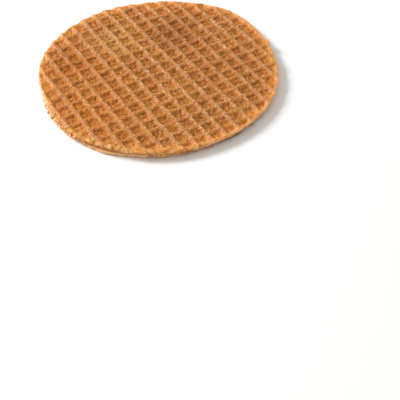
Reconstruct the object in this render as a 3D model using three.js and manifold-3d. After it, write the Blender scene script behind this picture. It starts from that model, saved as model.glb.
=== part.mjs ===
// A stroopwafel: two thin round wafers, cut from one baked disc, with caramel syrup between them.
// Both outer faces carry the pockets and ridges of the iron, and both rims are cut and crumbly.
// Units are millimetres, +Z is up, and -Y is the side nearest the viewer.
// The origin is the middle of the underside, where the lower wafer's ridges touch the table.

import * as THREE from "three";
import { mergeGeometries, mergeVertices } from "three/addons/utils/BufferGeometryUtils.js";
import Module from "manifold-3d";

const wasm = await Module();
wasm.setup();

// Driving dimensions
const cutterDiameter = 100.4; // the round cutter that trims the baked disc
const waferThickness = 1.625; // one wafer, from its split face to the tops of its ridges
const syrupThickness = 0.75; // the caramel layer, so the whole is 4 mm thick
const pocketDepth = 1.1; // from the tops of the ridges to a pocket's floor
const pocketWallRun = 0.5; // how far each pocket wall leans in on its way down
const rimPocketShare = 0.75; // pockets at the rim are pressed flatter by the cutter
const rimStep = 2; // degrees between the points of a wafer's rim
const lowerShrink = 0.8; // the lower wafer's rim lies this much inside the upper one's
const lowerSlip = new THREE.Vector2(-0.6, -0.35); // how far the lower wafer slid on the syrup
const syrupShrink = 0.9; // the syrup stops this far short of the upper wafer's rim

// The iron's two families of ridges, each straight across the whole disc.
// facing is the direction in degrees from one ridge to the next, and first is where one ridge lies.
const wideRidges = { pitch: 6.1, crest: 1.25, facing: 28.2, first: 1.1 };
const narrowRidges = { pitch: 6.04, crest: 1.0, facing: 114.8, first: -3.1 };

// Slow swells of the rim: how many go round, how far each stands out, and where one peaks.
const rimWaves = [
  { count: 2, height: 0.27, peak: 63 },
  { count: 3, height: 0.27, peak: 38 },
  { count: 4, height: 0.54, peak: 55 },
  { count: 5, height: 0.16, peak: 54 },
  { count: 6, height: 0.21, peak: 48 },
  { count: 7, height: 0.17, peak: 10 },
];
const syrupWaves = [
  { count: 7, height: 0.3, peak: 20 },
  { count: 11, height: 0.2, peak: 8 },
];

// Single features of the rim: where they lie, how wide they are and how far they go.
const wornEdge = { at: 205, spread: 20, depth: 1.4 };
const lowerBulge = { at: 245, spread: 9, depth: 1.0 };
const crags = [
  { at: 16.5, spread: 1.6, depth: 1.1 },
  { at: 51, spread: 4, depth: 0.5 },
  { at: 59, spread: 2, depth: -0.8 },
  { at: 69, spread: 2.5, depth: -0.8 },
  { at: 84, spread: 3, depth: 0.9 },
];

// How unevenly the dough baked: the most that each size strays either way.
const stray = { rim: 0.18, rimHeight: 0.08, pocketPlace: 0.08, pocketWidth: 0.12, pocketDepth: 0.08 };

const { degToRad, seededRandom } = THREE.MathUtils;

// A random size between minus amount and plus amount, from the seed set last.
function uneven(amount) {
  return (seededRandom() * 2 - 1) * amount;
}

// The sum of the waves at an angle in radians.
function swell(waves, angle) {
  let height = 0;
  for (const wave of waves) {
    height += wave.height * Math.cos(wave.count * (angle - degToRad(wave.peak)));
  }
  return height;
}

// A smooth bump of a feature: its full depth at its own place, fading out within its spread.
function bump(feature, angle) {
  const away = Math.cos(angle - degToRad(feature.at));
  const spread = Math.cos(degToRad(feature.spread));
  return feature.depth * Math.exp((away - 1) / (1 - spread));
}

// The rim that the cutter left. All three layers follow it.
function cutRim(angle) {
  return cutterDiameter / 2 + swell(rimWaves, angle);
}

// Where the upper wafer broke, a crag stands out or a notch goes in.
function upperRim(angle) {
  return crags.reduce((out, crag) => out + bump(crag, angle), cutRim(angle));
}

function lowerRim(angle) {
  return cutRim(angle) - lowerShrink + bump(lowerBulge, angle);
}

function syrupRim(angle) {
  return cutRim(angle) - syrupShrink + swell(syrupWaves, angle);
}

// Turns a closed geometry into a solid for cutting, without the triangles that have no area at a pole.
function solidFrom(geometry) {
  const corners = geometry.index.array;
  const triangles = [];
  for (let i = 0; i < corners.length; i += 3) {
    const [a, b, c] = corners.slice(i, i + 3);
    if (a !== b && b !== c && c !== a) triangles.push(a, b, c);
  }
  const vertProperties = geometry.attributes.position.array;
  const triVerts = new Uint32Array(triangles);
  return new wasm.Manifold(new wasm.Mesh({ numProp: 3, vertProperties, triVerts }));
}

function geometryFrom(solid) {
  const mesh = solid.getMesh();
  const geometry = new THREE.BufferGeometry();
  geometry.setAttribute("position", new THREE.BufferAttribute(mesh.vertProperties, 3));
  geometry.setIndex(new THREE.BufferAttribute(mesh.triVerts, 1));
  return geometry;
}

// Shared corners only, which is what a closed solid needs.
function merged(geometry) {
  geometry.deleteAttribute("normal");
  geometry.deleteAttribute("uv");
  return mergeVertices(geometry);
}

// A flat disc. Its edge has one row of points for each {inset, z} step, from the bottom up,
// and every row follows the rim, less its inset there, and strays a little from it.
function roughDisc(rim, steps, points) {
  const radius = cutterDiameter / 2;
  const bottom = steps[0].z;
  const top = steps[steps.length - 1].z;
  const profile = [new THREE.Vector2(0, bottom)];
  for (const step of steps) {
    profile.push(new THREE.Vector2(radius, step.z));
  }
  profile.push(new THREE.Vector2(0, top));
  const disc = merged(new THREE.LatheGeometry(profile, points).rotateX(Math.PI / 2));
  const position = disc.attributes.position;
  const point = new THREE.Vector3();
  for (let i = 0; i < position.count; i++) {
    point.fromBufferAttribute(position, i);
    if (Math.hypot(point.x, point.y) < 1) continue;
    const angle = Math.atan2(point.y, point.x);
    const step = steps.find((row) => Math.abs(row.z - point.z) < 1e-4);
    const out = rim(angle) - step.inset(angle) + uneven(stray.rim);
    const isEdge = step.z > bottom && step.z < top;
    const z = step.z + (isEdge ? uneven(stray.rimHeight) : 0);
    position.setXYZ(i, out * Math.cos(angle), out * Math.sin(angle), z);
  }
  return disc;
}

// The place on the disc that lies these distances along the facings of both families.
function gridPoint(alongWide, alongNarrow) {
  const wide = new THREE.Vector2(1, 0).rotateAround(new THREE.Vector2(), degToRad(wideRidges.facing));
  const narrow = new THREE.Vector2(1, 0).rotateAround(new THREE.Vector2(), degToRad(narrowRidges.facing));
  const skew = wide.cross(narrow);
  const x = (alongWide * narrow.y - alongNarrow * wide.y) / skew;
  const y = (alongNarrow * wide.x - alongWide * narrow.x) / skew;
  return new THREE.Vector2(x, y);
}

// One pocket as a block with leaning walls. It stands a little proud of the face that it cuts.
function pocketBlock(alongWide, alongNarrow, depth) {
  const proud = 0.2;
  const openWide = wideRidges.pitch - wideRidges.crest + uneven(stray.pocketWidth);
  const openNarrow = narrowRidges.pitch - narrowRidges.crest + uneven(stray.pocketWidth);
  const middleWide = alongWide + uneven(stray.pocketPlace);
  const middleNarrow = alongNarrow + uneven(stray.pocketPlace);
  const block = new THREE.BoxGeometry(1, 1, 1);
  const position = block.attributes.position;
  for (let i = 0; i < position.count; i++) {
    const isTop = position.getZ(i) > 0;
    const grow = isTop ? (2 * pocketWallRun * proud) / depth : -2 * pocketWallRun;
    const corner = gridPoint(
      middleWide + position.getX(i) * (openWide + grow),
      middleNarrow + position.getY(i) * (openNarrow + grow),
    );
    position.setXYZ(i, corner.x, corner.y, waferThickness + (isTop ? proud : -depth));
  }
  return merged(block);
}

// Every pocket that the iron pressed inside the rim, those at the rim being cut open by it.
function pocketBlocks(rim) {
  const reach = Math.ceil(cutterDiameter / 2 / narrowRidges.pitch) + 1;
  const rimZone = 3.5;
  const mostBeyond = 1.8;
  const blocks = [];
  for (let i = -reach; i <= reach; i++) {
    for (let j = -reach; j <= reach; j++) {
      const alongWide = wideRidges.first + (i + 0.5) * wideRidges.pitch;
      const alongNarrow = narrowRidges.first + (j + 0.5) * narrowRidges.pitch;
      const middle = gridPoint(alongWide, alongNarrow);
      const inside = rim(middle.angle()) - middle.length();
      if (inside < -mostBeyond) continue;
      const share = inside < rimZone ? rimPocketShare : 1;
      blocks.push(pocketBlock(alongWide, alongNarrow, pocketDepth * share + uneven(stray.pocketDepth)));
    }
  }
  return mergeGeometries(blocks);
}

// One wafer with its split face at z = 0 and its pockets opening upward.
// The cut edge bellies out in the middle, and its upper corner is worn back.
function waferGeometry(rim, wornBack, seed) {
  seededRandom(seed);
  const steps = [
    { z: 0, inset: () => 0.15 },
    { z: waferThickness * 0.35, inset: () => 0 },
    { z: waferThickness * 0.75, inset: (angle) => 0.1 + wornBack(angle) / 2 },
    { z: waferThickness, inset: (angle) => 0.45 + wornBack(angle) },
  ];
  const blank = solidFrom(roughDisc(rim, steps, 360 / rimStep));
  const pockets = solidFrom(pocketBlocks(rim));
  return geometryFrom(blank.subtract(pockets));
}

// The syrup layer, squeezed out further in some places than in others, with a rounded edge.
function syrupGeometry(seed) {
  seededRandom(seed);
  const steps = [
    { z: 0, inset: () => 0.2 },
    { z: syrupThickness / 2, inset: () => 0 },
    { z: syrupThickness, inset: () => 0.2 },
  ];
  return geometryFrom(solidFrom(roughDisc(syrupRim, steps, 120)));
}

function upperWafer() {
  const crust = new THREE.MeshStandardMaterial({ color: 0xba7a45, roughness: 0.62, metalness: 0, flatShading: true });
  const wafer = new THREE.Mesh(waferGeometry(upperRim, (angle) => bump(wornEdge, angle), 11), crust);
  wafer.name = "wafer_top";
  wafer.position.z = waferThickness + syrupThickness;
  return wafer;
}

function syrupLayer() {
  const caramel = new THREE.MeshStandardMaterial({ color: 0x8e5a2a, roughness: 0.3, metalness: 0, flatShading: true });
  const syrup = new THREE.Mesh(syrupGeometry(23), caramel);
  syrup.name = "caramel";
  syrup.position.set(lowerSlip.x / 2, lowerSlip.y / 2, waferThickness);
  return syrup;
}

// The lower wafer is turned over, so its rim is measured the other way round.
function lowerWafer() {
  const crust = new THREE.MeshStandardMaterial({ color: 0xb87a48, roughness: 0.65, metalness: 0, flatShading: true });
  const wafer = new THREE.Mesh(waferGeometry((angle) => lowerRim(-angle), () => 0, 37), crust);
  wafer.name = "wafer_bottom";
  wafer.rotation.x = Math.PI;
  wafer.position.set(lowerSlip.x, lowerSlip.y, waferThickness);
  return wafer;
}

const stroopwafel = new THREE.Group();
stroopwafel.name = "stroopwafel";
stroopwafel.add(upperWafer(), syrupLayer(), lowerWafer());

// Slide the whole so that the origin is in the middle of its length and width.
const middle = new THREE.Box3().setFromObject(stroopwafel, true).getCenter(new THREE.Vector3());
stroopwafel.position.set(-middle.x, -middle.y, 0);

export default stroopwafel;
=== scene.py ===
# A stroopwafel lying flat: two thin baked wafers with a pressed grid, and caramel syrup between them.
# Sections follow the waffle as it is put together: upper wafer, lower wafer, syrup layer, syrup film
# and crumbs. The camera comes before them, and the floor and the lights after them.

from math import cos, radians, sin

import bpy
from mathutils import Matrix, Vector


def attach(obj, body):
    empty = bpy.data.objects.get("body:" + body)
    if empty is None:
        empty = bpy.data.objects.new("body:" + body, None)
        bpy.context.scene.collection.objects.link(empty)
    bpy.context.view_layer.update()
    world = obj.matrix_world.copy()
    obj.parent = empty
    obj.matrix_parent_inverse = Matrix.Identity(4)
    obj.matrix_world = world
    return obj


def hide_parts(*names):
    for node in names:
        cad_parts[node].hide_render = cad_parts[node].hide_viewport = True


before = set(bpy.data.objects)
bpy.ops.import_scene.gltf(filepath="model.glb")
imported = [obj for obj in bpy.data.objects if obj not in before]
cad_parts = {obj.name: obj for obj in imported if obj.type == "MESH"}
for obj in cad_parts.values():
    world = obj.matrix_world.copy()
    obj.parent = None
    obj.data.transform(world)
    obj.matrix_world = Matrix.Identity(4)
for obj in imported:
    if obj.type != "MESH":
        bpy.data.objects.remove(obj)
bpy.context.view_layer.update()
scene = bpy.context.scene


# The camera.
# It stands in front of the waffle and looks down at it, turned a little to the right, so that the
# waffle lies at the upper left of the picture as in the photograph. Its angles are in degrees.
MM = 0.001  # one millimetre in metres
LENS_MM = 69.75
SENSOR_MM = 36
NEAREST_MM = 10
CAMERA_PLACE_MM = Vector((0.011, -260.473, 205.3))
CAMERA_HEADING, CAMERA_DOWN, CAMERA_ROLL = -3.63, 47.46, -0.91

camera_data = bpy.data.cameras.new("camera")
camera_data.lens = LENS_MM
camera_data.sensor_width = SENSOR_MM
camera_data.clip_start = NEAREST_MM * MM
camera = bpy.data.objects.new("camera", camera_data)
scene.collection.objects.link(camera)
camera.matrix_world = (
    Matrix.Translation(CAMERA_PLACE_MM * MM)
    @ Matrix.Rotation(radians(CAMERA_HEADING), 4, "Z")
    @ Matrix.Rotation(radians(90 - CAMERA_DOWN), 4, "X")
    @ Matrix.Rotation(radians(CAMERA_ROLL), 4, "Z")
)
scene.camera = camera


# The upper wafer.
# A thin disc of dough, baked hard between two hot irons and cut round, its outer face a grid of
# straight ridges and square pockets. It is split from the lower wafer and stuck on with syrup.

# Sizes are in millimetres. Directions are in degrees, anticlockwise from the right as seen from above.
CUTTER_RADIUS = 50.2
WAFER_THICKNESS = 1.625
SYRUP_THICKNESS = 0.75
RELIEF_DEPTH = 1.05
GROUP_SHIFT = (0.101, 0.267)  # the cutter's middle, seen from the middle of the whole waffle's box

# The two families of ridges, the high one first: spacing, the direction across them, where the first
# ridge lies, and the widths of the rounded crest and of the leaning wall.
PITCH = (6.1, 6.04)
FACING = (28.2, 114.8)
FIRST_RIDGE = (1.1, -2.65)
CREST = (0.4, 0.8)
WALL_RUN = (1.5, 1.3)

# The rim's waves: how many go round, how high they are and where a peak lies.
RIM_WAVES = ((2, 0.27, 63), (3, 0.27, 38), (4, 0.54, 55), (5, 0.16, 54), (6, 0.21, 48), (7, 0.17, 10))

# Crags and notches of the rim: where each lies, how wide it spreads and how far out it goes.
CRAGS = ((16.5, 1.6, 1.1), (51, 4, 0.5), (59, 2, -0.8), (69, 2.5, -0.8), (84, 3, 0.9))

# Where the rim is worn back, pinched flat, pinched wider, bulging, and broken with painted shade, and
# how wide it is so.
WORN_EDGE = (205, 20)
LIP_SIDE = (285, 60)
WIDE_LIP = (258, 26)
LOWER_BULGE = (245, 9)
RAGGED_SIDE = (312, 28)


def srgb(text):
    """An sRGB hex colour as the linear colour that Blender works in."""
    parts = [int(text[i:i + 2], 16) / 255 for i in (0, 2, 4)]
    linear = [p / 12.92 if p <= 0.04045 else ((p + 0.055) / 1.055) ** 2.4 for p in parts]
    return (*linear, 1.0)


def add(tree, kind, *inputs, **settings):
    """Adds a node. Inputs go to its sockets in order, and settings to its properties or named sockets.
    A node given as a value stands for its first output, and a list of them fills one socket."""
    node = tree.nodes.new(kind)
    named = {}
    for key, value in settings.items():
        if hasattr(node, key):
            setattr(node, key, value)
        else:
            named[key.replace("_", " ")] = value
    open_sockets = [socket for socket in node.inputs if socket.enabled]
    pairs = list(zip(open_sockets, inputs))
    for key, value in named.items():
        pairs.append((next(socket for socket in open_sockets if socket.name == key), value))
    for socket, value in pairs:
        if value is None:
            continue
        for item in value if isinstance(value, list) else [value]:
            if isinstance(item, bpy.types.Node):
                item = next(out for out in item.outputs if out.enabled)
            if isinstance(item, bpy.types.NodeSocket):
                tree.links.new(item, socket)
            else:
                socket.default_value = item
    return node


def new_tree(name, inputs):
    """An empty Geometry Nodes tree with named inputs, and those inputs to link from."""
    tree = bpy.data.node_groups.new(name, "GeometryNodeTree")
    for label, kind in inputs.items():
        tree.interface.new_socket(label, in_out="INPUT", socket_type=kind)
    tree.interface.new_socket("Geometry", in_out="OUTPUT", socket_type="NodeSocketGeometry")
    return tree, tree.nodes.new("NodeGroupInput").outputs


def new_finish(name):
    """A material with an empty node tree, and that tree."""
    finish = bpy.data.materials.new(name)
    finish.use_nodes = True
    finish.node_tree.nodes.clear()
    return finish, finish.node_tree


def make_piece(name, tree, values):
    """Runs a tree with these input values and keeps the result as a plain mesh object."""
    host = bpy.data.objects.new(name + "_host", bpy.data.meshes.new(name + "_host"))
    scene.collection.objects.link(host)
    modifier = host.modifiers.new(name, "NODES")
    modifier.node_group = tree
    sockets = [item for item in tree.interface.items_tree if item.in_out == "INPUT"]
    identifiers = {socket.name: socket.identifier for socket in sockets}
    for label, value in values.items():
        modifier[identifiers[label]] = value
    evaluated = host.evaluated_get(bpy.context.evaluated_depsgraph_get())
    mesh = bpy.data.meshes.new_from_object(evaluated)
    mesh.name = name
    host.modifiers.remove(modifier)
    bpy.data.objects.remove(host)
    piece = bpy.data.objects.new(name, mesh)
    scene.collection.objects.link(piece)
    return piece


FLOAT, INT, VECTOR = "NodeSocketFloat", "NodeSocketInt", "NodeSocketVector"
OBJECT, MATERIAL = "NodeSocketObject", "NodeSocketMaterial"
MATHS, VECTORS, COMPARE = "ShaderNodeMath", "ShaderNodeVectorMath", "FunctionNodeCompare"
RANGE, MIX, NOISE = "ShaderNodeMapRange", "ShaderNodeMix", "ShaderNodeTexNoise"
SMOOTH = "SMOOTHSTEP"
wafer_tree, given = new_tree("pressed wafer", {
    "Rows": INT, "Pocket Depth": FLOAT, "Rim Inset": FLOAT, "Side": FLOAT, "Worn Edge": FLOAT,
    "Bulge": FLOAT, "Crags": FLOAT, "Lip": FLOAT, "Highest": FLOAT, "Ragged": FLOAT, "Seed": FLOAT,
    "Place": VECTOR, "Turn": VECTOR, "Material": MATERIAL,
})
place = add(wafer_tree, "GeometryNodeInputPosition")
east, north, height = add(wafer_tree, "ShaderNodeSeparateXYZ", place).outputs
flat = add(wafer_tree, "ShaderNodeCombineXYZ", east, north)

# The dough shrank unevenly as it baked, so the whole grid wanders a little.
WANDER_WIDTH = 10 / 2.2
WANDER = 1.5
wander = add(wafer_tree, NOISE, flat, given["Seed"], 1 / WANDER_WIDTH, 3.0, 0.6, noise_dimensions="4D")
wander = add(wafer_tree, VECTORS, wander.outputs["Color"], (0.5, 0.5, 0.5), operation="SUBTRACT")
wandered = add(wafer_tree, VECTORS, wander, (WANDER, WANDER, 0), flat, operation="MULTIPLY_ADD")

# Fields of soft lumps, each from about -0.5 to 0.5. Each line gives where it is read, the width of a
# lump in millimetres as so many to a centimetre, and the detail and roughness of the noise. The grit
# is sugar and flour, finer than the picture can show, so it is drawn a little coarser.
UNEVEN = {
    "rim": (flat, 10 / 2.8, 3.0, 0.6),
    "wall": (wandered, 10 / 6, 4.0, 0.65),
    "low ridge": (flat, 10 / 3, 3.0, 0.5),
    "lump": (wandered, 10 / 7, 4.0, 0.7),
    "swell": (flat, 10 / 3, 4.0, 0.6),
    "grit": (flat, 10 / 16, 3.0, 0.7),
    "lip": (flat, 10 / 4.5, 3.0, 0.6),
    "side": (place, 10 / 3.5, 2.0, 0.5),
    "crumble": (place, 10 / 11, 3.0, 0.7),
}
uneven = {}
for label, (where, width, detail, roughness) in UNEVEN.items():
    noise = add(wafer_tree, NOISE, where, given["Seed"], 1 / width, detail, roughness,
                noise_dimensions="4D")
    uneven[label] = add(wafer_tree, MATHS, noise, 0.5, operation="SUBTRACT")

# The rim's distance from the middle, in each direction. The lower wafer is turned over, and its side
# of -1 mirrors the directions to match. Where the rim is broken, it goes in by up to half the break's
# depth, and never further out than the last of these sizes.
BREAK_DEPTH = 6.0
BREAK_OUT = 0.15
FURTHEST_OUT = 0.6
turned_north = add(wafer_tree, MATHS, north, given["Side"], operation="MULTIPLY")
angle = add(wafer_tree, MATHS, turned_north, east, operation="ARCTAN2")
rim = add(wafer_tree, MATHS, CUTTER_RADIUS, given["Rim Inset"], operation="SUBTRACT")
for count, wave_height, peak in RIM_WAVES:
    phase = add(wafer_tree, MATHS, angle, count, -count * radians(peak), operation="MULTIPLY_ADD")
    wave = add(wafer_tree, MATHS, phase, operation="COSINE")
    rim = add(wafer_tree, MATHS, wave, wave_height, rim, operation="MULTIPLY_ADD")


def bump_at(at, spread):
    """A smooth field that is 1 in one direction of the disc and fades out within the spread."""
    away = add(wafer_tree, MATHS, angle, radians(at), operation="SUBTRACT")
    near = add(wafer_tree, MATHS, away, operation="COSINE")
    steep = 1 / (1 - cos(radians(spread)))
    power = add(wafer_tree, MATHS, near, steep, -steep, operation="MULTIPLY_ADD")
    return add(wafer_tree, MATHS, power, operation="EXPONENT")


for at, spread, depth in CRAGS:
    crag = add(wafer_tree, MATHS, bump_at(at, spread), given["Crags"], operation="MULTIPLY")
    rim = add(wafer_tree, MATHS, crag, depth, rim, operation="MULTIPLY_ADD")
rim = add(wafer_tree, MATHS, bump_at(*LOWER_BULGE), given["Bulge"], rim, operation="MULTIPLY_ADD")
# The broken side also carries painted shade into the crust's colour.
ragged = add(wafer_tree, MATHS, bump_at(*RAGGED_SIDE), given["Ragged"], operation="MULTIPLY")
broken = add(wafer_tree, MATHS, uneven["rim"], BREAK_DEPTH, BREAK_OUT, operation="MULTIPLY_ADD")
broken = add(wafer_tree, MATHS, broken, FURTHEST_OUT, operation="MINIMUM")
rim = add(wafer_tree, MATHS, ragged, broken, rim, operation="MULTIPLY_ADD")
worn = add(wafer_tree, MATHS, bump_at(*WORN_EDGE), given["Worn Edge"], operation="MULTIPLY")
out = add(wafer_tree, VECTORS, flat, operation="LENGTH").outputs["Value"]
gap = add(wafer_tree, MATHS, rim, out, operation="SUBTRACT")

# The iron's two families of ridges, with rounded crests and leaning, uneven walls. The second family
# is lower, and more so in some places than in others. Each pocket has a random number of its own.
WALL_STRAY = 2.1
LOW_RIDGE_HEIGHT = 0.68
LOW_RIDGE_STRAY = 0.9
ROW_STEP = 101.0  # more than the pockets in a row, so that no two get the same number
POCKET_SEED = 7
side = add(wafer_tree, "ShaderNodeCombineXYZ", 1.0, given["Side"], 1.0)
ridges = []
pocket_rows = []
for pitch, facing, first, crest, run in zip(PITCH, FACING, FIRST_RIDGE, CREST, WALL_RUN):
    way = (cos(radians(facing)), sin(radians(facing)), 0)
    turned_way = add(wafer_tree, VECTORS, way, side, operation="MULTIPLY")
    along = add(wafer_tree, VECTORS, wandered, turned_way, operation="DOT_PRODUCT").outputs["Value"]
    along = add(wafer_tree, MATHS, along, first, operation="SUBTRACT")
    off_crest = add(wafer_tree, MATHS, along, pitch / 2, operation="PINGPONG")
    off_crest = add(wafer_tree, MATHS, uneven["wall"], WALL_STRAY, off_crest, operation="MULTIPLY_ADD")
    ridges.append(add(wafer_tree, RANGE, off_crest, crest / 2, crest / 2 + run, 1.0, 0.0,
                      interpolation_type=SMOOTH))
    row = add(wafer_tree, MATHS, along, pitch, operation="DIVIDE")
    pocket_rows.append(add(wafer_tree, MATHS, row, operation="FLOOR"))
low_share = add(wafer_tree, MATHS, uneven["low ridge"], LOW_RIDGE_STRAY, LOW_RIDGE_HEIGHT,
                operation="MULTIPLY_ADD")
low_ridge = add(wafer_tree, MATHS, ridges[1], low_share, operation="MULTIPLY")
off_high = add(wafer_tree, MATHS, 1.0, ridges[0], operation="SUBTRACT")
ridge = add(wafer_tree, MATHS, off_high, low_ridge, ridges[0], operation="MULTIPLY_ADD")
hollow = add(wafer_tree, MATHS, 1.0, ridge, operation="SUBTRACT")
number = add(wafer_tree, MATHS, pocket_rows[0], ROW_STEP, pocket_rows[1], operation="MULTIPLY_ADD")
pocket_random = add(wafer_tree, "FunctionNodeRandomValue", 0.0, 1.0, number, POCKET_SEED,
                    data_type="FLOAT")

# How far the face is sunk below the wafer's thickness: pockets of uneven depth, lumps and grit that
# are higher in the pockets than on the crests, broad swells, and small pits where bubbles burst.
POCKET_DEPTHS = (0.8, 1.12)  # as shares of the pocket depth
CREST_LUMPS, MORE_POCKET_LUMPS = 0.5, 1.6
CREST_GRIT, MORE_POCKET_GRIT = 0.9, 0.3
SWELL_HEIGHT = 0.6
PIT_SPACING = 10 / 6
PIT_REACH = (0.1, 0.3)  # as shares of the spacing
PIT_DEPTH = 0.4
deep = add(wafer_tree, RANGE, pocket_random, 0.0, 1.0, *POCKET_DEPTHS)
deep = add(wafer_tree, MATHS, deep, given["Pocket Depth"], operation="MULTIPLY")
sunk = add(wafer_tree, MATHS, deep, hollow, operation="MULTIPLY")
lump_size = add(wafer_tree, MATHS, hollow, -MORE_POCKET_LUMPS, -CREST_LUMPS, operation="MULTIPLY_ADD")
sunk = add(wafer_tree, MATHS, uneven["lump"], lump_size, sunk, operation="MULTIPLY_ADD")
sunk = add(wafer_tree, MATHS, uneven["swell"], -SWELL_HEIGHT, sunk, operation="MULTIPLY_ADD")
grit_size = add(wafer_tree, MATHS, hollow, -MORE_POCKET_GRIT, -CREST_GRIT, operation="MULTIPLY_ADD")
sunk = add(wafer_tree, MATHS, uneven["grit"], grit_size, sunk, operation="MULTIPLY_ADD")
pits = add(wafer_tree, "ShaderNodeTexVoronoi", flat, given["Seed"], 1 / PIT_SPACING,
           voronoi_dimensions="4D")
pits = add(wafer_tree, RANGE, pits, *PIT_REACH, PIT_DEPTH, 0.0, interpolation_type=SMOOTH)
sunk = add(wafer_tree, MATHS, sunk, pits, operation="ADD")

# The lip at the rim, which the iron pinched flat, mostly at the front, and its rounded edge. A reach
# goes in from the rim: there is all of the lip up to the first number, and none from the second on.
LIP_REACH = (0.5, 1.8)
MORE_WIDE_LIP = 1.1
MORE_FRONT_LIP = 0.45
LIP_SUNK = 0.22
LIP_STRAY = 0.5
EDGE_REACH = (-0.3, 0.5)
EDGE_DROP = 0.2
TOP_SOFTNESS = 0.12  # how softly the iron levels the highest lumps
from_lip = add(wafer_tree, MATHS, bump_at(*WIDE_LIP), -MORE_WIDE_LIP, gap, operation="MULTIPLY_ADD")
pinch = add(wafer_tree, RANGE, from_lip, *LIP_REACH, 1.0, 0.0, interpolation_type=SMOOTH)
lip_here = add(wafer_tree, MATHS, bump_at(*LIP_SIDE), MORE_FRONT_LIP, 1 - MORE_FRONT_LIP,
               operation="MULTIPLY_ADD")
pinch = add(wafer_tree, MATHS, pinch, lip_here, operation="MULTIPLY")
pinch = add(wafer_tree, MATHS, pinch, given["Lip"], operation="MULTIPLY")
lip_level = add(wafer_tree, MATHS, uneven["lip"], LIP_STRAY, LIP_SUNK, operation="MULTIPLY_ADD")
sunk = add(wafer_tree, MIX, pinch, sunk, lip_level, data_type="FLOAT")
drop = add(wafer_tree, RANGE, gap, *EDGE_REACH, EDGE_DROP, 0.0, interpolation_type=SMOOTH)
sunk = add(wafer_tree, MATHS, sunk, drop, operation="ADD")
face_height = add(wafer_tree, MATHS, WAFER_THICKNESS, sunk, operation="SUBTRACT")
face_height = add(wafer_tree, MATHS, face_height, given["Highest"], TOP_SOFTNESS, operation="SMOOTH_MIN")

# The pressed face as a fine sheet whose rows follow the ridges, closed to a point far below.
SHEET_WIDTH = 108.0
POINT_DEPTH = 300.0
WELD = 0.001
across_high = Vector((cos(radians(FACING[0])), sin(radians(FACING[0]))))
across_low = Vector((cos(radians(FACING[1])), sin(radians(FACING[1]))))
skew = across_high.x * across_low.y - across_high.y * across_low.x
sheet = add(wafer_tree, "GeometryNodeMeshGrid", SHEET_WIDTH, SHEET_WIDTH, given["Rows"], given["Rows"])
east_step = (across_low.y / skew, -across_low.x / skew, 0)
east_step = add(wafer_tree, VECTORS, east_step, operation="SCALE", Scale=east)
north_step = (-across_high.y / skew, across_high.x / skew, 0)
north_step = add(wafer_tree, VECTORS, north_step, operation="SCALE", Scale=north)
on_grid = add(wafer_tree, VECTORS, east_step, north_step, operation="ADD")
sheet = add(wafer_tree, "GeometryNodeSetPosition", sheet, None, on_grid)
pressed = add(wafer_tree, "ShaderNodeCombineXYZ", east, north, face_height)
sheet = add(wafer_tree, "GeometryNodeSetPosition", sheet, None, pressed)
edge_faces = add(wafer_tree, "GeometryNodeInputMeshEdgeNeighbors")
is_border = add(wafer_tree, COMPARE, edge_faces, 1, data_type="INT", operation="EQUAL")
drawn = add(wafer_tree, "GeometryNodeExtrudeMesh", sheet, is_border, None, 1.0, mode="EDGES")
point = add(wafer_tree, "ShaderNodeCombineXYZ", 0.0, 0.0, -POINT_DEPTH)
closed = add(wafer_tree, "GeometryNodeSetPosition", drawn.outputs["Mesh"], drawn.outputs["Top"], point)
closed = add(wafer_tree, "GeometryNodeMergeByDistance", closed, None, WELD)

# The side that the cutter left: crumbly, full of pores, bellied out at a third of its height, and
# worn back on the left.
CUTTER_HEIGHT = 2.4
CUTTER_POINTS, CUTTER_ROWS = 1000, 8
BELLY_LEVEL = 0.3
TOP_INSET, BOTTOM_INSET = 0.05, 0.2
WORN_CURVE = 1.4
SIDE_STRAY = 0.5
CRUMBLE_DEPTH = 0.9
PORE_SPACING = 10 / 9
PORE_REACH = (0.12, 0.48)  # as shares of the spacing
PORE_DEPTH = 0.6
cutter = add(wafer_tree, "GeometryNodeMeshCylinder", CUTTER_POINTS, CUTTER_ROWS, 1, CUTTER_RADIUS,
             CUTTER_HEIGHT, fill_type="NGON").outputs["Mesh"]
lifted = add(wafer_tree, "GeometryNodeTransform", cutter, (0, 0, CUTTER_HEIGHT / 2))
level = add(wafer_tree, MATHS, height, WAFER_THICKNESS, operation="DIVIDE")
slant = add(wafer_tree, MATHS, level, WORN_CURVE, operation="POWER")
inset = add(wafer_tree, MATHS, slant, worn, operation="MULTIPLY")
top_inset = add(wafer_tree, RANGE, level, BELLY_LEVEL, 1.0, 0.0, TOP_INSET, interpolation_type=SMOOTH)
inset = add(wafer_tree, MATHS, inset, top_inset, operation="ADD")
bottom_inset = add(wafer_tree, RANGE, level, 0.0, BELLY_LEVEL, BOTTOM_INSET, 0.0,
                   interpolation_type=SMOOTH)
inset = add(wafer_tree, MATHS, inset, bottom_inset, operation="ADD")
side_out = add(wafer_tree, MATHS, rim, inset, operation="SUBTRACT")
side_out = add(wafer_tree, MATHS, uneven["side"], SIDE_STRAY, side_out, operation="MULTIPLY_ADD")
side_out = add(wafer_tree, MATHS, uneven["crumble"], CRUMBLE_DEPTH, side_out, operation="MULTIPLY_ADD")
pores = add(wafer_tree, "ShaderNodeTexVoronoi", place, given["Seed"], 1 / PORE_SPACING,
            voronoi_dimensions="4D")
pores = add(wafer_tree, RANGE, pores, *PORE_REACH, -PORE_DEPTH, 0.0, interpolation_type=SMOOTH)
side_out = add(wafer_tree, MATHS, side_out, pores, operation="ADD")
away = add(wafer_tree, VECTORS, flat, operation="NORMALIZE")
edge_place = add(wafer_tree, VECTORS, away, operation="SCALE", Scale=side_out)
upward = add(wafer_tree, "ShaderNodeCombineXYZ", 0.0, 0.0, height)
edge_place = add(wafer_tree, VECTORS, edge_place, upward, operation="ADD")
cut_round = add(wafer_tree, "GeometryNodeSetPosition", lifted, None, edge_place)
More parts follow.
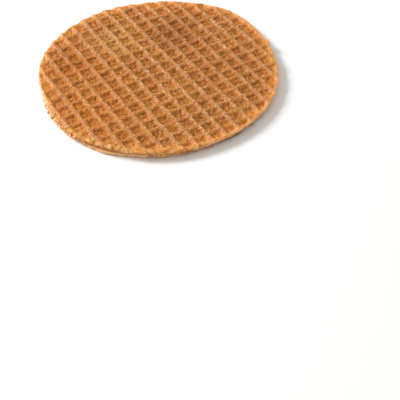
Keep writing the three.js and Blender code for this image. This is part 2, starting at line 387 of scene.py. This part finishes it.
wafer = add(wafer_tree, "GeometryNodeMeshBoolean", [closed, cut_round], operation="INTERSECT",
            solver="MANIFOLD")

# What the material needs to know at each point, stored on the mesh under these names.
below = add(wafer_tree, MATHS, face_height, height, operation="SUBTRACT")
marks = {
    "ridge": ridge, "gap": gap, "pocket": pocket_random, "below": below,
    "lump": uneven["lump"], "grit": uneven["grit"], "pore": pores, "ragged": ragged,
}
for label, field in marks.items():
    wafer = add(wafer_tree, "GeometryNodeStoreNamedAttribute", wafer, None, label, field,
                data_type="FLOAT", domain="POINT")

# Moved into its place, turned to metres, and shaded smooth but for its sharp edges.
SHARP_ANGLE = 55  # degrees
wafer = add(wafer_tree, "GeometryNodeTransform", wafer, given["Place"], given["Turn"])
wafer = add(wafer_tree, "GeometryNodeTransform", wafer, (0, 0, 0), (0, 0, 0), (MM, MM, MM))
wafer = add(wafer_tree, "GeometryNodeSetShadeSmooth", wafer, None, True)
edge_angle = add(wafer_tree, "GeometryNodeInputMeshEdgeAngle")
is_sharp = add(wafer_tree, COMPARE, edge_angle, radians(SHARP_ANGLE), data_type="FLOAT",
               operation="GREATER_THAN")
wafer = add(wafer_tree, "GeometryNodeSetShadeSmooth", wafer, is_sharp, False, domain="EDGE")
wafer = add(wafer_tree, "GeometryNodeRealizeInstances", wafer)
wafer = add(wafer_tree, "GeometryNodeSetMaterial", wafer, None, given["Material"])
add(wafer_tree, "NodeGroupOutput", wafer)

# Baked waffle crust: sweet dough, pressed between hot irons and browned by them. The eye sees brown
# pockets and paler crests with a fine grain, walls painted amber as warm bounced light, painted pale
# glints on the crests, a faint gloss where syrup soaked through, and at the side the pale, porous crumb
# that the cutter laid open, with painted shade in its pores.
crust, nodes = new_finish("baked waffle crust")
mark = {label: add(nodes, "ShaderNodeAttribute", attribute_name=label).outputs["Fac"] for label in marks}
spot = add(nodes, "ShaderNodeTexCoord").outputs["Object"]

# Patterns by the width of a spot in millimetres, as so many to a centimetre. The grain is really
# finer than the picture can show, so it is drawn nearly a millimetre wide.
GRAIN_WIDTH = 10 / 11
BLOTCH_WIDTH = 10 / 1.1
ROSY_WIDTH = 10 / 2.6
BROAD_WIDTH = 10 / 0.35
grain = add(nodes, NOISE, spot, Scale=1 / (GRAIN_WIDTH * MM), Detail=4.0, Roughness=0.7)
blotch = add(nodes, NOISE, spot, Scale=1 / (BLOTCH_WIDTH * MM), Detail=3.0, Roughness=0.6)
rosy = add(nodes, NOISE, spot, Scale=1 / (ROSY_WIDTH * MM), Detail=3.0, Roughness=0.7)
broad = add(nodes, NOISE, spot, Scale=1 / (BROAD_WIDTH * MM), Detail=2.0)

# How light the crust is, from its grain and from the lumps and the grit, which are paler where they
# stand up. The tones run from the darkest to the lightest, each with its place on that scale.
GRAIN_CONTRAST, GRAIN_LEVEL = 1.6, -0.3
LUMP_LIGHT, GRIT_LIGHT = 0.38, 0.33
POCKET_TONES = ((0.0, "80440c"), (0.3, "965818"), (0.5, "ac6c34"), (0.67, "c0884a"), (0.84, "deae72"))
# The palest crest tone paints pale glints on the crests, besides sugary specks.
CREST_TONES_AND_GLINTS = ((0.0, "965e2a"), (0.31, "a66e3c"), (0.5, "bb8450"), (0.63, "d8a671"), (0.78, "fce6b8"))
shade = add(nodes, MATHS, grain, GRAIN_CONTRAST, GRAIN_LEVEL, operation="MULTIPLY_ADD")
shade = add(nodes, MATHS, mark["lump"], LUMP_LIGHT, shade, operation="MULTIPLY_ADD")
shade = add(nodes, MATHS, mark["grit"], GRIT_LIGHT, shade, operation="MULTIPLY_ADD")
ramps = []
for stops in (POCKET_TONES, CREST_TONES_AND_GLINTS):
    ramp = add(nodes, "ShaderNodeValToRGB", shade)
    points = ramp.color_ramp.elements
    points.remove(points[1])
    for stop, colour in stops:
        point = points.new(stop) if stop else points[0]
        point.color = srgb(colour)
    ramps.append(ramp)
CREST_CURVE = 1.2
rise = add(nodes, MATHS, mark["ridge"], CREST_CURVE, operation="POWER")
tone = add(nodes, MIX, rise, data_type="RGBA", A=ramps[0], B=ramps[1])

# The tints that lie over those tones, one on another, each with its share at each point. The first is
# amber painted on the pockets' walls, a stand-in for the warm light bounced into their shade.
WALL_GLOW_SHARE, WALL_GLOW_TINT = 1.1, "d07a2e"
off_ridge = add(nodes, MATHS, 1.0, mark["ridge"], operation="SUBTRACT")
wall_glow_share = add(nodes, MATHS, mark["ridge"], off_ridge, operation="MULTIPLY")
wall_glow_share = add(nodes, MATHS, wall_glow_share, WALL_GLOW_SHARE, operation="MULTIPLY")
tints = [(wall_glow_share, srgb(WALL_GLOW_TINT))]

# Golden and reddish blotches, rosy specks that are partly painted highlights, pinkish where the crust
# is also glossier, and some pockets browner than others: where in its pattern each starts and is full,
# the most of it, and its colour.
for source, low, high, most, colour in (
    (blotch, 0.45, 0.7, 0.3, "c07c30"), (blotch, 0.5, 0.3, 0.25, "b0642c"),
    (rosy, 0.55, 0.72, 0.3, "d8925e"), (mark["pocket"], 0.0, 1.0, 0.3, "a4642a"),
):
    tints.append((add(nodes, RANGE, source, low, high, 0.0, most), srgb(colour)))

# Parts that the iron baked darker, or more golden, than the rest: the middle of each and how far it
# reaches from there, in millimetres, the most of it, and its colour. Their borders stray.
BAKED_PATCHES = (
    ((7.3, 24.2), 15, 0.45, "8c4c28"), ((-19.0, 19.3), 14, 0.3, "c89c5c"),
    ((-39.0, 5.0), 25, 0.42, "a85c18"), ((-34.0, -27.0), 42, 0.3, "d07c24"),
    ((20.0, 2.0), 22, 0.22, "9c5c28"),
)
FACE_LEVEL = 4  # how high the face lies above the floor
PATCH_CORE = 4
PATCH_STRAY = 20
for (patch_east, patch_north), reach, most, colour in BAKED_PATCHES:
    middle = (patch_east * MM, patch_north * MM, FACE_LEVEL * MM)
    away = add(nodes, VECTORS, spot, middle, operation="DISTANCE").outputs["Value"]
    away = add(nodes, MATHS, broad, -PATCH_STRAY * MM, away, operation="MULTIPLY_ADD")
    full, none = (PATCH_CORE - PATCH_STRAY / 2) * MM, (reach - PATCH_STRAY / 2) * MM
    near = add(nodes, RANGE, away, full, none, most, 0.0)
    tints.append((near, srgb(colour)))

# Syrup that soaked through the thin dough, in golden blotches near the rim and in the pockets.
SOAKED_REACH = (2.5, 8.0)
SOAKED_RIM, SOAKED_BLOTCH, SOAKED_RIDGE = 0.85, 1.6, -0.35
SOAKED_RANGE = (1.0, 1.5)
SOAKED_MOST, SOAKED_TINT = 0.75, "d88626"
soaked = add(nodes, RANGE, mark["gap"], *SOAKED_REACH, SOAKED_RIM, 0.0)
soaked = add(nodes, MATHS, blotch, SOAKED_BLOTCH, soaked, operation="MULTIPLY_ADD")
soaked = add(nodes, MATHS, mark["ridge"], SOAKED_RIDGE, soaked, operation="MULTIPLY_ADD")
soaked = add(nodes, RANGE, soaked, *SOAKED_RANGE, 0.0, SOAKED_MOST)
tints.append((soaked, srgb(SOAKED_TINT)))

# The lip, thin and golden to pale, with a grainy border.
LIP_EDGE = (1.2, 3.2)
LIP_GRAIN = 1.5
LIP_MOST = 0.85
LIP_TONES = ("de9844", "e6ae76")
LIP_MOTTLE = (0.35, 0.65)
lip_share = add(nodes, MATHS, grain, LIP_GRAIN, mark["gap"], operation="MULTIPLY_ADD")
lip_share = add(nodes, RANGE, lip_share, *LIP_EDGE, LIP_MOST, 0.0)
lip_tone = add(nodes, RANGE, rosy, *LIP_MOTTLE, 0.0, 1.0)
lip_tone = add(nodes, MIX, lip_tone, data_type="RGBA", A=srgb(LIP_TONES[0]), B=srgb(LIP_TONES[1]))
tints.append((lip_share, lip_tone))

# The crumb at the side: pale, with browner specks, and painted shade that darkens its pores towards
# their depths. It starts just below the face.
CRUMB_START = (0.08, 0.3)
PORE_SHADE = (-0.4, -0.05)  # from the deep part of a pore to its edge
PORE_SHADE_AND_CRUMB_TONES = ("b07440", "f6c48e")
CRUMB_SPECKS = (0.35, 0.65)
CRUMB_SPECK_MOST, CRUMB_SPECK_TINT = 0.4, "c88644"
crumb_share = add(nodes, RANGE, mark["below"], *CRUMB_START, 0.0, 1.0)
pore_shade_tone = add(nodes, RANGE, mark["pore"], *PORE_SHADE, 0.0, 1.0)
crumb_with_pore_shade = add(nodes, MIX, pore_shade_tone, data_type="RGBA", A=srgb(PORE_SHADE_AND_CRUMB_TONES[0]), B=srgb(PORE_SHADE_AND_CRUMB_TONES[1]))
specks = add(nodes, RANGE, grain, *CRUMB_SPECKS, CRUMB_SPECK_MOST, 0.0)
crumb_with_pore_shade = add(nodes, MIX, specks, data_type="RGBA", A=crumb_with_pore_shade, B=srgb(CRUMB_SPECK_TINT))
tints.append((crumb_share, crumb_with_pore_shade))

# Painted shade on the broken part of the lower wafer's rim, which lies back under the upper wafer's
# rim on the side away from the key light.
RAGGED_SHADE_REACH = (1.0, 2.5)
RAGGED_SHADE_MOST, RAGGED_SHADE_TINT = 0.8, "7c4c24"
ragged_shade_rim = add(nodes, RANGE, mark["gap"], *RAGGED_SHADE_REACH, RAGGED_SHADE_MOST, 0.0)
ragged_shade_share = add(nodes, MATHS, mark["ragged"], ragged_shade_rim, operation="MULTIPLY")
tints.append((ragged_shade_share, srgb(RAGGED_SHADE_TINT)))

for share, colour in tints:
    tone = add(nodes, MIX, share, data_type="RGBA", A=tone, B=colour)

# The crust is wetter in the rosy specks, where syrup soaked through, on the lip and on the crests, and
# dry and dull elsewhere.
WET_LIP, WET_RIDGE = 0.05, 0.2
DRY_TO_WET = (0.5, 0.9)
DRY_ROUGHNESS, WET_ROUGHNESS = 0.55, 0.36
DRY_SHINE, WET_SHINE = 0.06, 0.32
GRAIN_DEPTH = 0.4
CRUST_GLOW = (1.0, 0.4, 0.1)  # how many millimetres red, green and blue light go into the crust
wet = add(nodes, MATHS, rosy, 1.0, soaked, operation="MULTIPLY_ADD")
wet = add(nodes, MATHS, lip_share, WET_LIP, wet, operation="MULTIPLY_ADD")
wet = add(nodes, MATHS, mark["ridge"], WET_RIDGE, wet, operation="MULTIPLY_ADD")
dullness = add(nodes, RANGE, wet, *DRY_TO_WET, DRY_ROUGHNESS, WET_ROUGHNESS)
shine = add(nodes, RANGE, wet, *DRY_TO_WET, DRY_SHINE, WET_SHINE)
bumps = add(nodes, "ShaderNodeBump", Strength=0.7, Distance=GRAIN_DEPTH * MM, Height=grain)
surface = add(
    nodes, "ShaderNodeBsdfPrincipled", Base_Color=tone, Roughness=dullness, Normal=bumps,
    Specular_IOR_Level=shine, Subsurface_Weight=0.7, Subsurface_Radius=CRUST_GLOW,
    Subsurface_Scale=MM,
)
add(nodes, "ShaderNodeOutputMaterial", surface)

# As many rows as keep the piece under 200,000 triangles, about 0.3 mm apart. Its lumps may stand a
# little higher than its thickness.
LUMPS_ABOVE = 0.3
shift = Vector((*GROUP_SHIFT, 0))
wafer_top = make_piece("wafer_top_baked", wafer_tree, {
    "Rows": 345, "Pocket Depth": RELIEF_DEPTH, "Rim Inset": -0.25, "Side": 1.0, "Worn Edge": 1.4,
    "Bulge": 0.0, "Crags": 1.0, "Lip": 0.85, "Highest": WAFER_THICKNESS + LUMPS_ABOVE, "Ragged": 0.0,
    "Seed": 3.0, "Place": shift + Vector((0, 0, WAFER_THICKNESS + SYRUP_THICKNESS)),
    "Turn": (0.0, 0.0, 0.0), "Material": crust,
})
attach(wafer_top, "root")
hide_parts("wafer_top")


# The lower wafer.
# The other half of the same baked disc, turned over, so its pressed face is the underside. It is a
# little smaller and lies a little to the front and left, stuck to the syrup.
LOWER_SLIP = Vector((-0.6, -0.35, 0))
wafer_bottom = make_piece("wafer_bottom_baked", wafer_tree, {
    "Rows": 260, "Pocket Depth": RELIEF_DEPTH, "Rim Inset": 0.8, "Side": -1.0, "Worn Edge": 0.0,
    "Bulge": 1.0, "Crags": 0.0, "Lip": 0.5, "Highest": WAFER_THICKNESS, "Ragged": 1.0, "Seed": 5.0,
    "Place": shift + LOWER_SLIP + Vector((0, 0, WAFER_THICKNESS)), "Turn": (radians(180), 0.0, 0.0),
    "Material": crust,
})
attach(wafer_bottom, "root")
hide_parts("wafer_bottom")


# The syrup layer.
# Caramel syrup spread warm between the two wafers, which runs right through and bulges out unevenly
# at the rim, set but still glossy. It slid with the lower wafer.
SYRUP_WAVES = ((7, 0.3, 20), (11, 0.2, 8))
SYRUP_SHRINK = 0.65
SYRUP_POINTS, SYRUP_ROWS = 1100, 10
SYRUP_ROUNDING = 0.3
OOZE_WIDTH = 10 / 5
OOZE_RANGE = (0.42, 0.7)  # of the noise, from where nothing is squeezed out to where most is
syrup_tree, given = new_tree("syrup layer", {
    "Height": FLOAT, "Rim Inset": FLOAT, "Ooze": FLOAT, "Seed": FLOAT, "Place": VECTOR,
    "Material": MATERIAL,
})
place = add(syrup_tree, "GeometryNodeInputPosition")
east, north, height = add(syrup_tree, "ShaderNodeSeparateXYZ", place).outputs
flat = add(syrup_tree, "ShaderNodeCombineXYZ", east, north)
angle = add(syrup_tree, MATHS, north, east, operation="ARCTAN2")
rim = add(syrup_tree, MATHS, CUTTER_RADIUS, given["Rim Inset"], operation="SUBTRACT")
for count, wave_height, peak in RIM_WAVES + SYRUP_WAVES:
    phase = add(syrup_tree, MATHS, angle, count, -count * radians(peak), operation="MULTIPLY_ADD")
    wave = add(syrup_tree, MATHS, phase, operation="COSINE")
    rim = add(syrup_tree, MATHS, wave, wave_height, rim, operation="MULTIPLY_ADD")

# Across its thickness the syrup is drawn in where it meets a wafer, and bulges between them.
level = add(syrup_tree, MATHS, height, given["Height"], operation="DIVIDE")
off_middle = add(syrup_tree, MATHS, level, 2.0, operation="MULTIPLY")
near_wafer = add(syrup_tree, MATHS, off_middle, 2.0, operation="POWER")
rim = add(syrup_tree, MATHS, near_wafer, -SYRUP_ROUNDING, rim, operation="MULTIPLY_ADD")
ooze = add(syrup_tree, NOISE, place, given["Seed"], 1 / OOZE_WIDTH, 2.0, noise_dimensions="4D")
ooze = add(syrup_tree, RANGE, ooze, *OOZE_RANGE, 0.0, 1.0, interpolation_type=SMOOTH)
ooze = add(syrup_tree, MATHS, ooze, given["Ooze"], operation="MULTIPLY")
belly = add(syrup_tree, MATHS, 1.0, near_wafer, operation="SUBTRACT")
belly = add(syrup_tree, MATHS, belly, 0.5, operation="POWER")
rim = add(syrup_tree, MATHS, ooze, belly, rim, operation="MULTIPLY_ADD")
layer = add(syrup_tree, "GeometryNodeMeshCylinder", SYRUP_POINTS, SYRUP_ROWS, 1, CUTTER_RADIUS,
            given["Height"], fill_type="NGON").outputs["Mesh"]
away = add(syrup_tree, VECTORS, flat, operation="NORMALIZE")
edge_place = add(syrup_tree, VECTORS, away, operation="SCALE", Scale=rim)
upward = add(syrup_tree, "ShaderNodeCombineXYZ", 0.0, 0.0, height)
edge_place = add(syrup_tree, VECTORS, edge_place, upward, operation="ADD")
layer = add(syrup_tree, "GeometryNodeSetPosition", layer, None, edge_place)
layer = add(syrup_tree, "GeometryNodeTransform", layer, given["Place"])
layer = add(syrup_tree, "GeometryNodeTransform", layer, (0, 0, 0), (0, 0, 0), (MM, MM, MM))
layer = add(syrup_tree, "GeometryNodeSetShadeSmooth", layer, None, True)
edge_angle = add(syrup_tree, "GeometryNodeInputMeshEdgeAngle")
is_sharp = add(syrup_tree, COMPARE, edge_angle, radians(SHARP_ANGLE), data_type="FLOAT",
               operation="GREATER_THAN")
layer = add(syrup_tree, "GeometryNodeSetShadeSmooth", layer, is_sharp, False, domain="EDGE")
layer = add(syrup_tree, "GeometryNodeRealizeInstances", layer)
layer = add(syrup_tree, "GeometryNodeSetMaterial", layer, None, given["Material"])
add(syrup_tree, "NodeGroupOutput", layer)

# Set caramel syrup: sugar and butter, boiled, spread warm and cooled. It gives the eye a glossy amber
# line that darkens and lightens along the joint, and a little light shines through it.
SYRUP_TONES = ("a05c18", "dc963c")
SYRUP_SWIRL_WIDTH = 10 / 3.5
SYRUP_SWIRL_RANGE = (0.3, 0.7)
SYRUP_RIPPLE_DEPTH = 0.3
SYRUP_GLOW = (1.0, 0.45, 0.12)
SYRUP_IOR = 1.47  # of thick sugar syrup
syrup, nodes = new_finish("set caramel syrup")
spot = add(nodes, "ShaderNodeTexCoord").outputs["Object"]
swirl = add(nodes, NOISE, spot, Scale=1 / (SYRUP_SWIRL_WIDTH * MM), Detail=3.0)
swirl_share = add(nodes, RANGE, swirl, *SYRUP_SWIRL_RANGE, 0.0, 1.0)
tone = add(nodes, MIX, swirl_share, data_type="RGBA", A=srgb(SYRUP_TONES[0]), B=srgb(SYRUP_TONES[1]))
ripple = add(nodes, "ShaderNodeBump", Strength=0.4, Distance=SYRUP_RIPPLE_DEPTH * MM, Height=swirl)
surface = add(
    nodes, "ShaderNodeBsdfPrincipled", Base_Color=tone, Roughness=0.23, IOR=SYRUP_IOR, Normal=ripple,
    Subsurface_Weight=0.5, Subsurface_Radius=SYRUP_GLOW, Subsurface_Scale=MM,
)
add(nodes, "ShaderNodeOutputMaterial", surface)

syrup_layer = make_piece("syrup_layer", syrup_tree, {
    "Height": SYRUP_THICKNESS, "Rim Inset": SYRUP_SHRINK, "Ooze": 0.85, "Seed": 2.0,
    "Place": shift + LOWER_SLIP + Vector((0, 0, WAFER_THICKNESS + SYRUP_THICKNESS / 2)),
    "Material": syrup,
})
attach(syrup_layer, "root")
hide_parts("caramel")


# The syrup film.
# A thin golden film of the same syrup, squeezed out through the joint and drawn over the rim by the
# cutter, mostly on the side nearest the viewer. It follows the wafer's face and ends in thin edges.

# It goes from the face down the side, from full to nothing between the first two depths, and lies
# where the rim is far enough out towards the front and a little to the left.
FILM_BELOW = (0.6, 1.3)
FRONT_WAY = (-0.42, -0.91, 0.0)
FRONT_REACH = (34, 46)
FILM_PATCH_WIDTH = 10 / 4.2
FILM_PATCH_RANGE = (0.43, 0.64)
THINNEST = 0.03  # as a share of the full film, below which there is none
FILM_RIPPLE_WIDTH = 10 / 9
FILM_SUNK = 0.05
CORNER_WELD = 0.02
EDGE_WELD = 0.0001
film_tree, given = new_tree("syrup film", {
    "Wafer": OBJECT, "Reach": FLOAT, "Thickness": FLOAT, "Seed": FLOAT, "Material": MATERIAL,
})
wafer_face = add(film_tree, "GeometryNodeObjectInfo", given["Wafer"]).outputs["Geometry"]
place = add(film_tree, "GeometryNodeInputPosition")
below_face = add(film_tree, "GeometryNodeInputNamedAttribute", "below", data_type="FLOAT")
rim_gap = add(film_tree, "GeometryNodeInputNamedAttribute", "gap", data_type="FLOAT")
near_rim = add(film_tree, RANGE, rim_gap, 0.0, given["Reach"], 1.0, 0.0)
upper = add(film_tree, RANGE, below_face, *FILM_BELOW, 1.0, 0.0)
front = add(film_tree, VECTORS, place, FRONT_WAY, operation="DOT_PRODUCT").outputs["Value"]
front = add(film_tree, RANGE, front, FRONT_REACH[0] * MM, FRONT_REACH[1] * MM, 0.0, 1.0)
patches = add(film_tree, NOISE, place, given["Seed"], 1 / (FILM_PATCH_WIDTH * MM), 3.0, 0.6,
              noise_dimensions="4D")
patches = add(film_tree, RANGE, patches, *FILM_PATCH_RANGE, 0.0, 1.0)
cover = add(film_tree, MATHS, near_rim, upper, operation="MULTIPLY")
cover = add(film_tree, MATHS, cover, front, operation="MULTIPLY")
cover = add(film_tree, MATHS, cover, patches, operation="MULTIPLY")
covered = add(film_tree, COMPARE, cover, THINNEST, data_type="FLOAT", operation="GREATER_THAN")
patch = add(film_tree, "GeometryNodeSeparateGeometry", wafer_face, covered, domain="FACE")
patch = add(film_tree, "GeometryNodeMergeByDistance", patch.outputs["Selection"], None, CORNER_WELD * MM)

# A point where parts of the patch meet only at a corner has two more edges than faces. Such points
# are taken out, then those that this leaves, and so on, so that the film can close.
CORNER_ROUNDS = 8
around = add(film_tree, "GeometryNodeInputMeshVertexNeighbors").outputs
spare = add(film_tree, MATHS, around["Vertex Count"], around["Face Count"], operation="SUBTRACT")
only_corner = add(film_tree, COMPARE, spare, 1.5, data_type="FLOAT", operation="GREATER_THAN")
for _ in range(CORNER_ROUNDS):
    patch = add(film_tree, "GeometryNodeDeleteGeometry", patch, only_corner, domain="POINT")

# The film's underside lies a little inside the wafer, and its top ripples and thins out to nothing.
ripples = add(film_tree, NOISE, place, given["Seed"], 1 / (FILM_RIPPLE_WIDTH * MM), 2.0,
              noise_dimensions="4D")
thick = add(film_tree, MATHS, ripples, cover, operation="MULTIPLY")
thick = add(film_tree, MATHS, thick, given["Thickness"], operation="MULTIPLY")
facing = add(film_tree, "GeometryNodeInputNormal")
inward = add(film_tree, VECTORS, facing, operation="SCALE", Scale=-FILM_SUNK * MM)
patch = add(film_tree, "GeometryNodeSetPosition", patch, None, None, inward)
outer = add(film_tree, "GeometryNodeExtrudeMesh", patch, None, None, 0.5 * FILM_SUNK * MM, False,
            mode="FACES").outputs
top_rise = add(film_tree, VECTORS, facing, operation="SCALE", Scale=thick)
lifted = add(film_tree, "GeometryNodeSetPosition", outer["Mesh"], outer["Top"], None, top_rise)
under = add(film_tree, "GeometryNodeFlipFaces", patch)
film = add(film_tree, "GeometryNodeJoinGeometry", [lifted, under])
film = add(film_tree, "GeometryNodeMergeByDistance", film, None, EDGE_WELD * MM)
edge_faces = add(film_tree, "GeometryNodeInputMeshEdgeNeighbors")
is_loose = add(film_tree, COMPARE, edge_faces, 0, data_type="INT", operation="EQUAL")
film = add(film_tree, "GeometryNodeDeleteGeometry", film, is_loose, domain="EDGE")
film = add(film_tree, "GeometryNodeSetShadeSmooth", film, None, True)
film = add(film_tree, "GeometryNodeRealizeInstances", film)
film = add(film_tree, "GeometryNodeSetMaterial", film, None, given["Material"])
add(film_tree, "NodeGroupOutput", film)

# Thin golden syrup: the same syrup drawn out thin by the cutter and set. It gives the eye golden,
# glossy patches, with ripples that break up the highlights.
FILM_TONES = ("bc7226", "e8a250")
FILM_SWIRL_WIDTH = 10 / 7
FILM_SWIRL_RANGE = (0.35, 0.65)
FILM_RIPPLE_DEPTH = 0.4
FILM_GLOW_DEPTH = 0.3
FILM_GLOW = (1.0, 0.6, 0.3)  # as shares of that depth, for red, green and blue
thin_syrup, nodes = new_finish("thin golden syrup")
spot = add(nodes, "ShaderNodeTexCoord").outputs["Object"]
swirl = add(nodes, NOISE, spot, Scale=1 / (FILM_SWIRL_WIDTH * MM), Detail=3.0)
swirl_share = add(nodes, RANGE, swirl, *FILM_SWIRL_RANGE, 0.0, 1.0)
tone = add(nodes, MIX, swirl_share, data_type="RGBA", A=srgb(FILM_TONES[0]), B=srgb(FILM_TONES[1]))
ripple = add(nodes, "ShaderNodeBump", Strength=0.6, Distance=FILM_RIPPLE_DEPTH * MM, Height=swirl)
surface = add(
    nodes, "ShaderNodeBsdfPrincipled", Base_Color=tone, Roughness=0.26, IOR=SYRUP_IOR, Normal=ripple,
    Subsurface_Weight=0.4, Subsurface_Radius=FILM_GLOW, Subsurface_Scale=FILM_GLOW_DEPTH * MM,
)
add(nodes, "ShaderNodeOutputMaterial", surface)

syrup_film = make_piece("syrup_film", film_tree, {
    "Wafer": wafer_top, "Reach": 3.2, "Thickness": 0.7 * MM, "Seed": 2.0, "Material": thin_syrup,
})
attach(syrup_film, "root")


# Crumbs.
# Loose specks of baked dough that broke off when the disc was cut, stuck to the rim all round and,
# here and there, in the pockets. How many there are is given per square millimetre.
RIM_CRUMBS, FACE_CRUMBS = 0.3, 0.02
CRUMB_REACH = (1.0, 3.0)
LEAST_STRETCH, MOST_STRETCH = (0.7, 0.7, 0.5), (1.4, 1.2, 1.0)
SIZE_SEED, STRETCH_SEED = 3, 4
DENT_WIDTH = 10 / 25
DENT_DEPTH = 0.2
crumb_tree, given = new_tree("crumbs", {
    "Wafer": OBJECT, "Rim Density": FLOAT, "Face Density": FLOAT, "Least": FLOAT, "Largest": FLOAT,
    "Seed": INT, "Material": MATERIAL,
})
wafer_face = add(crumb_tree, "GeometryNodeObjectInfo", given["Wafer"]).outputs["Geometry"]
rim_gap = add(crumb_tree, "GeometryNodeInputNamedAttribute", "gap", data_type="FLOAT")
density = add(crumb_tree, RANGE, rim_gap, *CRUMB_REACH, given["Rim Density"], given["Face Density"])
spots = add(crumb_tree, "GeometryNodeDistributePointsOnFaces", wafer_face, None, density, given["Seed"])
crumb = add(crumb_tree, "GeometryNodeMeshIcoSphere", Radius=1.0, Subdivisions=2).outputs["Mesh"]
size = add(crumb_tree, "FunctionNodeRandomValue", given["Least"], given["Largest"], None, SIZE_SEED,
           data_type="FLOAT")
stretch = add(crumb_tree, "FunctionNodeRandomValue", LEAST_STRETCH, MOST_STRETCH, None, STRETCH_SEED,
              data_type="FLOAT_VECTOR")
scale = add(crumb_tree, VECTORS, stretch, operation="SCALE", Scale=size)
crumbs = add(crumb_tree, "GeometryNodeInstanceOnPoints", spots.outputs["Points"], None, crumb, None,
             None, spots.outputs["Rotation"], scale)
crumbs = add(crumb_tree, "GeometryNodeRealizeInstances", crumbs)
place = add(crumb_tree, "GeometryNodeInputPosition")
dents = add(crumb_tree, NOISE, place, 1 / (DENT_WIDTH * MM), 2.0)
dents = add(crumb_tree, VECTORS, dents.outputs["Color"], (0.5, 0.5, 0.5), operation="SUBTRACT")
dents = add(crumb_tree, VECTORS, dents, operation="SCALE", Scale=DENT_DEPTH * MM)
crumbs = add(crumb_tree, "GeometryNodeSetPosition", crumbs, None, None, dents)
crumbs = add(crumb_tree, "GeometryNodeRealizeInstances", crumbs)
crumbs = add(crumb_tree, "GeometryNodeSetMaterial", crumbs, None, given["Material"])
add(crumb_tree, "NodeGroupOutput", crumbs)

# Dry baked crumb: dough broken small, dry all through. It gives the eye dull specks, no two alike,
# because the pattern of tones is wider than a crumb.
CRUMB_SKIN_TONES = ("b06c2c", "d09458")
CRUMB_TONE_WIDTH = 10 / 4
CRUMB_TONE_RANGE = (0.35, 0.65)
crumb_skin, nodes = new_finish("dry baked crumb")
spot = add(nodes, "ShaderNodeTexCoord").outputs["Object"]
mottle = add(nodes, NOISE, spot, Scale=1 / (CRUMB_TONE_WIDTH * MM), Detail=2.0)
mottle_share = add(nodes, RANGE, mottle, *CRUMB_TONE_RANGE, 0.0, 1.0)
dark, light = srgb(CRUMB_SKIN_TONES[0]), srgb(CRUMB_SKIN_TONES[1])
tone = add(nodes, MIX, mottle_share, data_type="RGBA", A=dark, B=light)
surface = add(nodes, "ShaderNodeBsdfPrincipled", Base_Color=tone, Roughness=0.6)
add(nodes, "ShaderNodeOutputMaterial", surface)

crumbs = make_piece("crumbs", crumb_tree, {
    "Wafer": wafer_top, "Rim Density": RIM_CRUMBS / MM ** 2, "Face Density": FACE_CRUMBS / MM ** 2,
    "Least": 0.08 * MM, "Largest": 0.26 * MM, "Seed": 11, "Material": crumb_skin,
})
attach(crumbs, "root")


# The floor and the lights.
# A plain pale floor, a soft key light from the left and behind, and an even pale surround. Widths and
# places are in metres, and the light's power in watts.
FLOOR_WIDTH = 6
FLOOR_COLOUR = "f6f6f6"
SURROUND_COLOUR, SURROUND_STRENGTH = "fffcf6", 0.64
KEY_PLACE = Vector((-0.793, 0.364, 0.611))
KEY_WIDTH = 0.39
KEY_POWER = 12.4
KEY_COLOUR = "fafcff"

bpy.ops.mesh.primitive_plane_add(size=FLOOR_WIDTH)
floor = bpy.context.object
floor.name = "floor"

# Matt white card, pressed smooth. It shows nothing but the soft shadow.
paper, nodes = new_finish("matt white floor")
surface = add(nodes, "ShaderNodeBsdfPrincipled", Base_Color=srgb(FLOOR_COLOUR), Roughness=0.8)
add(nodes, "ShaderNodeOutputMaterial", surface)
floor.data.materials.append(paper)

world = bpy.data.worlds.new("pale surround")
scene.world = world
world.use_nodes = True
world.node_tree.nodes["Background"].inputs["Color"].default_value = srgb(SURROUND_COLOUR)
world.node_tree.nodes["Background"].inputs["Strength"].default_value = SURROUND_STRENGTH

key_data = bpy.data.lights.new("key", "AREA")
key_data.energy = KEY_POWER
key_data.size = KEY_WIDTH
key_data.color = srgb(KEY_COLOUR)[:3]
key = bpy.data.objects.new("key", key_data)
scene.collection.objects.link(key)
key.location = KEY_PLACE
key.rotation_euler = (-key.location).to_track_quat("-Z", "Y").to_euler()

# Colours come out as they are, so that they can be matched to the photograph's.
scene.view_settings.view_transform = "Standard"
